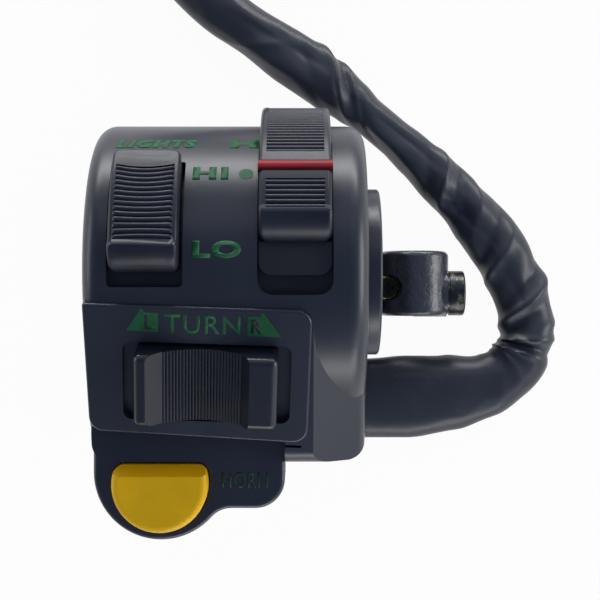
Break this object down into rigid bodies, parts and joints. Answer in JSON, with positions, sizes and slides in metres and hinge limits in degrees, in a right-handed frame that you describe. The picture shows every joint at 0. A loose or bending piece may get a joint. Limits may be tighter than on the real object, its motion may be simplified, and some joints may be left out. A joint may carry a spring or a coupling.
{
  "type": "handlebar switch cluster",
  "caption": "Left handlebar switch cluster: thumb dimmer, lights lever, turn slider and horn button in a split clamp casing, with mirror bracket and harness.",
  "frame": {"origin": "on the handlebar's axis, half way along the casing", "axes": "+X along the bar towards the middle of the motorcycle, +Z out of the face that the rider sees, +Y up in that view"},
  "size_m": [0.1394, 0.1792, 0.0602],
  "materials": {
    "casing": "satin black, faintly blue",
    "knob": "satin black",
    "index": "translucent red",
    "button": "amber yellow",
    "slider": "plain black",
    "bracket": "gloss black enamel",
    "steel": "zinc plated",
    "brass": "plain",
    "base": "brown moulded board",
    "rubber": "matt black",
    "sleeve": "black vinyl",
    "connector": "natural white",
    "wire_battery": "red vinyl",
    "wire_lamp_high": "blue vinyl",
    "wire_lamp_low": "white vinyl",
    "wire_turn_left": "orange vinyl",
    "wire_turn_right": "green vinyl",
    "wire_horn": "brown vinyl"
  },
  "bodies": {
    "casing": {"front_casing": "casing", "rear_casing": "casing", "casing_screws": "steel", "horn_plate_screw": "steel", "mirror_bracket": "bracket", "bracket_screw": "brass", "mirror_lock_bolt": "bracket", "mirror_lock_washer": "steel", "cable_grommet": "rubber", "harness_sleeve": "sleeve", "connector_housing": "connector", "connector_pins": "brass", "horn_contact_base": "base", "horn_contact_rivets": "brass", "horn_base_screws": "steel", "horn_spring": "steel", "wire_battery": "wire_battery", "wire_lamp_high": "wire_lamp_high", "wire_lamp_low": "wire_lamp_low", "wire_turn_left": "wire_turn_left", "wire_turn_right": "wire_turn_right", "wire_horn": "wire_horn", "dimmer_contact_base": "base", "dimmer_contact_rivets": "brass", "dimmer_base_screw": "steel", "lights_contact_base": "base", "lights_contact_rivets": "brass", "lights_base_screw": "steel", "turn_contact_base": "base", "turn_contact_rivets": "brass", "turn_base_screw": "steel"},
    "dimmer": {"dimmer_knob": "knob", "dimmer_slider": "slider", "dimmer_contact": "brass", "dimmer_detent_ball": "steel", "dimmer_detent_spring": "steel"},
    "lights": {"lights_knob": "knob", "lights_index": "index", "lights_slider": "slider", "lights_contact": "brass", "lights_detent_ball": "steel", "lights_detent_spring": "steel"},
    "turn": {"turn_knob": "knob", "turn_slider": "slider", "turn_contact": "brass", "turn_detent_ball": "steel", "turn_detent_spring": "steel"},
    "horn": {"horn_button": "button", "horn_contact": "brass"}
  },
  "joints": [
    {"name": "dimmer_turn", "type": "hinge", "parent": "casing", "child": "dimmer", "pos_m": [-0.0136, 0, 0], "axis": [1, 0, 0], "range_deg": [0, 5]},
    {"name": "lights_turn", "type": "hinge", "parent": "casing", "child": "lights", "pos_m": [0.0122, 0, 0], "axis": [-1, 0, 0], "range_deg": [0, 15]},
    {"name": "turn_slide", "type": "slide", "parent": "casing", "child": "turn", "axis": [0.9994, -0.0326, -0.0125], "range_m": [-0.0021, 0.0021]},
    {"name": "horn_press", "type": "slide", "parent": "casing", "child": "horn", "axis": [0, 0, -1], "range_m": [0, 0.0022], "stiffness_N_per_m": 900, "springref_m": -0.0012, "deforming": ["horn_spring"]}
  ]
}
